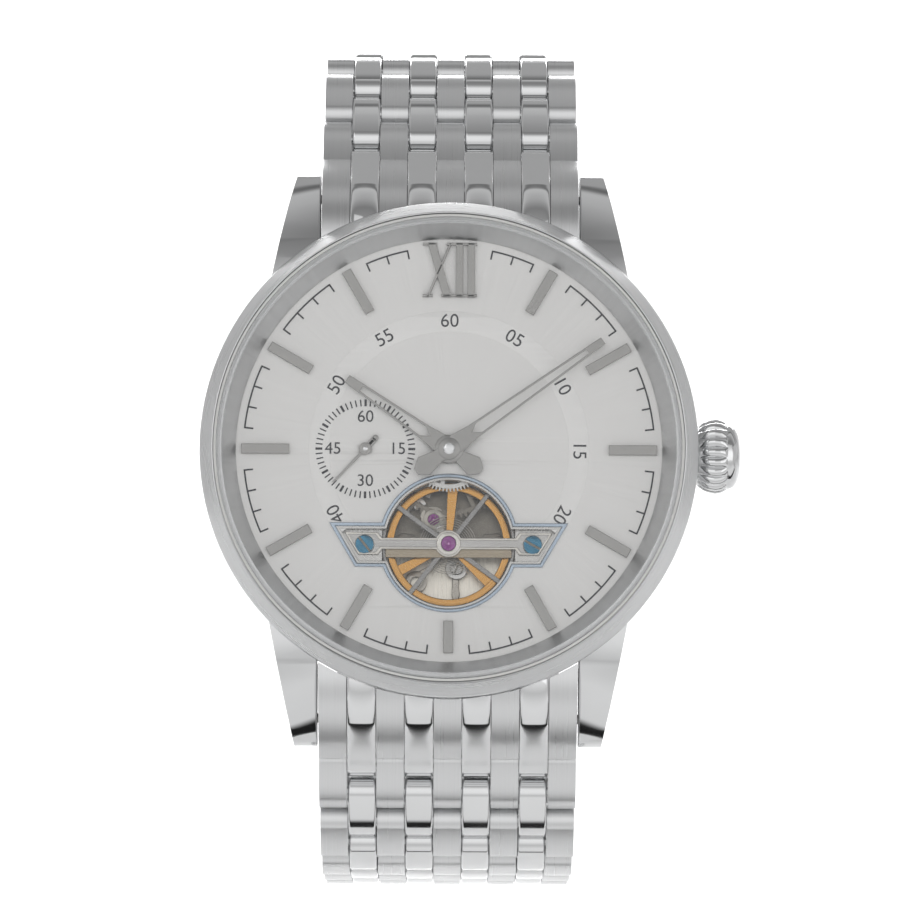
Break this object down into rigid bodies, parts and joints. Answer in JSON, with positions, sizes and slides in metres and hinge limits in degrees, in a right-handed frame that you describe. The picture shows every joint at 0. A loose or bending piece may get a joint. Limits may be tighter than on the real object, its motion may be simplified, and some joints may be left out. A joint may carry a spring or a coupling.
{
  "type": "wristwatch",
  "caption": "Open-heart automatic wristwatch with a round steel case, small seconds and a multi-row link bracelet closed by a folding clasp.",
  "frame": {"origin": "centre of the case back crystal's flat outer face, where the watch lies on the wrist", "axes": "+X to the crown, +Z to 12 o'clock, the dial faces -Y and +Y runs from the case back to the clasp"},
  "size_m": [0.0456, 0.062, 0.0719],
  "materials": {
    "brushed_steel": "satin, brushed along the length",
    "polished_steel": "mirror polished",
    "grey_steel": "fine satin",
    "dial_silver": "sunburst silver",
    "frame_steel": "fine satin, cool blue grey",
    "blued_steel": "heat-blued, polished",
    "rhodium": "brushed rhodium plate",
    "gilt": "gilt, turned",
    "brass": "brushed",
    "ruby": "polished synthetic ruby",
    "sapphire": "clear, polished",
    "gasket": "matte translucent white",
    "spacer": "matte"
  },
  "bodies": {
    "case": {"case_middle": "brushed_steel", "bezel": "brushed_steel", "crystal": "sapphire", "crystal_gasket": "gasket", "rehaut_ring": "rhodium", "case_back": "polished_steel", "case_back_crystal": "sapphire", "crown_tube": "brushed_steel", "movement_ring": "spacer", "dial": "dial_silver", "aperture_frame": "frame_steel", "main_plate": "rhodium", "barrel_bridge": "rhodium", "train_bridge": "rhodium", "balance_bridge": "rhodium", "bridge_screw_left": "blued_steel", "bridge_screw_right": "blued_steel", "balance_jewel": "ruby", "heart_guard": "grey_steel", "rotor_bearing": "polished_steel", "end_link_12": "brushed_steel", "spring_bar_12": "grey_steel", "end_link_6": "brushed_steel", "spring_bar_6": "grey_steel"},
    "balance": {"balance_wheel": "gilt", "hairspring": "blued_steel"},
    "fork": {"pallet_fork": "grey_steel"},
    "escape": {"escape_wheel": "grey_steel"},
    "third": {"third_wheel": "brass"},
    "fourth": {"fourth_wheel": "brass", "small_seconds_hand": "grey_steel"},
    "center": {"center_wheel": "brass"},
    "barrel": {"mainspring_barrel": "brass"},
    "ratchet": {"ratchet_wheel": "polished_steel"},
    "crown_wheel_body": {"crown_wheel": "polished_steel"},
    "rotor_body": {"rotor": "rhodium"},
    "hour": {"hour_wheel": "rhodium", "hour_hand": "grey_steel"},
    "minute": {"minute_hand": "grey_steel"},
    "minute_wheel_body": {"minute_wheel": "brass"},
    "pinion": {"sliding_pinion": "grey_steel"},
    "crown_body": {"crown": "polished_steel", "stem": "grey_steel"},
    "cover": {"clasp_cover": "brushed_steel"},
    "blade_outer": {"clasp_blade_outer": "polished_steel"},
    "blade_inner": {"clasp_blade_inner": "polished_steel"},
    "button_left": {"clasp_button_left": "polished_steel"},
    "button_right": {"clasp_button_right": "polished_steel"},
    "segment_12_1": {"bracelet_12_1": "brushed_steel"},
    "segment_12_2": {"bracelet_12_2": "brushed_steel"},
    "segment_12_3": {"bracelet_12_3": "brushed_steel"},
    "segment_12_4": {"bracelet_12_4": "brushed_steel"},
    "segment_12_5": {"bracelet_12_5": "brushed_steel"},
    "segment_12_6": {"bracelet_12_6": "brushed_steel"},
    "segment_6_1": {"bracelet_6_1": "brushed_steel"},
    "segment_6_2": {"bracelet_6_2": "brushed_steel"},
    "segment_6_3": {"bracelet_6_3": "brushed_steel"},
    "segment_6_4": {"bracelet_6_4": "brushed_steel"},
    "segment_6_5": {"bracelet_6_5": "brushed_steel"},
    "segment_6_6": {"bracelet_6_6": "brushed_steel"}
  },
  "joints": [
    {"name": "going_train_turn", "type": "hinge", "parent": "case", "child": "fourth", "pos_m": [-0.00705, -0.005, 0], "axis": [0, -1, 0], "continuous": true},
    {"name": "third_wheel_turn", "type": "hinge", "parent": "case", "child": "third", "pos_m": [-0.005, -0.005, 0.0039], "axis": [0, -1, 0], "continuous": true},
    {"name": "center_wheel_turn", "type": "hinge", "parent": "case", "child": "center", "pos_m": [0, -0.005, 0], "axis": [0, -1, 0], "continuous": true},
    {"name": "barrel_turn", "type": "hinge", "parent": "case", "child": "barrel", "pos_m": [0.0048, -0.005, 0.0045], "axis": [0, -1, 0], "continuous": true},
    {"name": "escape_wheel_turn", "type": "hinge", "parent": "case", "child": "escape", "pos_m": [-0.0034, -0.005, -0.003], "axis": [0, -1, 0], "continuous": true},
    {"name": "balance_swing", "type": "hinge", "parent": "case", "child": "balance", "pos_m": [0, -0.006, -0.0079], "axis": [0, -1, 0], "range_deg": [-270, 270], "stiffness_Nm_per_rad": 0.000001},
    {"name": "pallet_fork_rock", "type": "hinge", "parent": "case", "child": "fork", "pos_m": [-0.00128, -0.005, -0.00566], "axis": [0, -1, 0], "range_deg": [-6, 6]},
    {"name": "rotor_spin", "type": "hinge", "parent": "case", "child": "rotor_body", "pos_m": [0, -0.005, 0], "axis": [0, -1, 0], "continuous": true},
    {"name": "minute_hand_turn", "type": "hinge", "parent": "case", "child": "minute", "pos_m": [0, -0.005, 0], "axis": [0, -1, 0], "continuous": true},
    {"name": "hour_hand_turn", "type": "hinge", "parent": "case", "child": "hour", "pos_m": [0, -0.005, 0], "axis": [0, -1, 0], "continuous": true},
    {"name": "minute_wheel_turn", "type": "hinge", "parent": "case", "child": "minute_wheel_body", "pos_m": [0.0042, -0.005, 0.0027], "axis": [0, -1, 0], "continuous": true},
    {"name": "crown_turn", "type": "hinge", "parent": "case", "child": "pinion", "pos_m": [0.012, -0.0043, 0], "axis": [1, 0, 0], "continuous": true},
    {"name": "crown_wheel_turn", "type": "hinge", "parent": "case", "child": "crown_wheel_body", "pos_m": [0.00985, -0.005, 0], "axis": [0, -1, 0], "continuous": true},
    {"name": "ratchet_wheel_turn", "type": "hinge", "parent": "case", "child": "ratchet", "pos_m": [0.0048, -0.005, 0.0045], "axis": [0, -1, 0], "continuous": true},
    {"name": "crown_pull", "type": "slide", "parent": "pinion", "child": "crown_body", "axis": [1, 0, 0], "range_m": [0, 0.0012]},
    {"name": "bracelet_12_fold", "type": "hinge", "parent": "case", "child": "segment_12_1", "pos_m": [0, -0.0001, 0.0255], "axis": [1, 0, 0], "range_deg": [0, 20]},
    {"name": "bracelet_12_hinge_2", "type": "hinge", "parent": "segment_12_1", "child": "segment_12_2", "pos_m": [0, 0.00348, 0.03062], "axis": [1, 0, 0], "range_deg": [0, 20]},
    {"name": "bracelet_12_hinge_3", "type": "hinge", "parent": "segment_12_2", "child": "segment_12_3", "pos_m": [0, 0.01405, 0.03612], "axis": [1, 0, 0], "range_deg": [0, 20]},
    {"name": "bracelet_12_hinge_4", "type": "hinge", "parent": "segment_12_3", "child": "segment_12_4", "pos_m": [0, 0.02654, 0.03593], "axis": [1, 0, 0], "range_deg": [0, 20]},
    {"name": "bracelet_12_hinge_5", "type": "hinge", "parent": "segment_12_4", "child": "segment_12_5", "pos_m": [0, 0.03829, 0.03199], "axis": [1, 0, 0], "range_deg": [0, 20]},
    {"name": "bracelet_12_hinge_6", "type": "hinge", "parent": "segment_12_5", "child": "segment_12_6", "pos_m": [0, 0.04637, 0.02268], "axis": [1, 0, 0], "range_deg": [0, 20]},
    {"name": "bracelet_6_fold", "type": "hinge", "parent": "case", "child": "segment_6_1", "pos_m": [0, -0.0001, -0.0255], "axis": [-1, 0, 0], "range_deg": [0, 20]},
    {"name": "bracelet_6_hinge_2", "type": "hinge", "parent": "segment_6_1", "child": "segment_6_2", "pos_m": [0, 0.004, -0.03021], "axis": [-1, 0, 0], "range_deg": [0, 20]},
    {"name": "bracelet_6_hinge_3", "type": "hinge", "parent": "segment_6_2", "child": "segment_6_3", "pos_m": [0, 0.01595, -0.03285], "axis": [-1, 0, 0], "range_deg": [0, 20]},
    {"name": "bracelet_6_hinge_4", "type": "hinge", "parent": "segment_6_3", "child": "segment_6_4", "pos_m": [0, 0.0284, -0.03214], "axis": [-1, 0, 0], "range_deg": [0, 20]},
    {"name": "bracelet_6_hinge_5", "type": "hinge", "parent": "segment_6_4", "child": "segment_6_5", "pos_m": [0, 0.03964, -0.02693], "axis": [-1, 0, 0], "range_deg": [0, 20]},
    {"name": "bracelet_6_hinge_6", "type": "hinge", "parent": "segment_6_5", "child": "segment_6_6", "pos_m": [0, 0.04696, -0.01696], "axis": [-1, 0, 0], "range_deg": [0, 20]},
    {"name": "clasp_open", "type": "hinge", "parent": "segment_6_6", "child": "cover", "pos_m": [0, 0.04831, -0.00775], "axis": [-1, 0, 0], "range_deg": [0, 45]},
    {"name": "clasp_outer_blade_fold", "type": "hinge", "parent": "cover", "child": "blade_outer", "pos_m": [0, 0.04911, 0.00952], "axis": [-1, 0, 0], "range_deg": [0, 5]},
    {"name": "clasp_inner_blade_fold", "type": "hinge", "parent": "blade_outer", "child": "blade_inner", "pos_m": [0, 0.04801, -0.00315], "axis": [1, 0, 0], "range_deg": [0, 57]},
    {"name": "clasp_button_left_push", "type": "slide", "parent": "cover", "child": "button_left", "axis": [1, 0, 0], "range_m": [0, 0.0008], "stiffness_N_per_m": 600},
    {"name": "clasp_button_right_push", "type": "slide", "parent": "cover", "child": "button_right", "axis": [-1, 0, 0], "range_m": [0, 0.0008], "stiffness_N_per_m": 600}
  ],
  "couplings": [
    {"joint": "third_wheel_turn", "follows": "going_train_turn", "ratio": -0.13333},
    {"joint": "center_wheel_turn", "follows": "going_train_turn", "ratio": 0.016667},
    {"joint": "barrel_turn", "follows": "going_train_turn", "ratio": -0.002381},
    {"joint": "escape_wheel_turn", "follows": "going_train_turn", "ratio": -12},
    {"joint": "hour_hand_turn", "follows": "minute_hand_turn", "ratio": 0.083333},
    {"joint": "minute_wheel_turn", "follows": "minute_hand_turn", "ratio": -0.33333},
    {"joint": "crown_wheel_turn", "follows": "crown_turn", "ratio": 0.5},
    {"joint": "ratchet_wheel_turn", "follows": "crown_turn", "ratio": -0.33333},
    {"joint": "bracelet_12_hinge_2", "follows": "bracelet_12_fold", "ratio": 1},
    {"joint": "bracelet_12_hinge_3", "follows": "bracelet_12_fold", "ratio": 1},
    {"joint": "bracelet_12_hinge_4", "follows": "bracelet_12_fold", "ratio": 1},
    {"joint": "bracelet_12_hinge_5", "follows": "bracelet_12_fold", "ratio": 1},
    {"joint": "bracelet_12_hinge_6", "follows": "bracelet_12_fold", "ratio": 1},
    {"joint": "bracelet_6_hinge_2", "follows": "bracelet_6_fold", "ratio": 1},
    {"joint": "bracelet_6_hinge_3", "follows": "bracelet_6_fold", "ratio": 1},
    {"joint": "bracelet_6_hinge_4", "follows": "bracelet_6_fold", "ratio": 1},
    {"joint": "bracelet_6_hinge_5", "follows": "bracelet_6_fold", "ratio": 1},
    {"joint": "bracelet_6_hinge_6", "follows": "bracelet_6_fold", "ratio": 1},
    {"joint": "clasp_outer_blade_fold", "follows": "clasp_open", "ratio": 0.1},
    {"joint": "clasp_inner_blade_fold", "follows": "clasp_open", "ratio": 1.25}
  ]
}
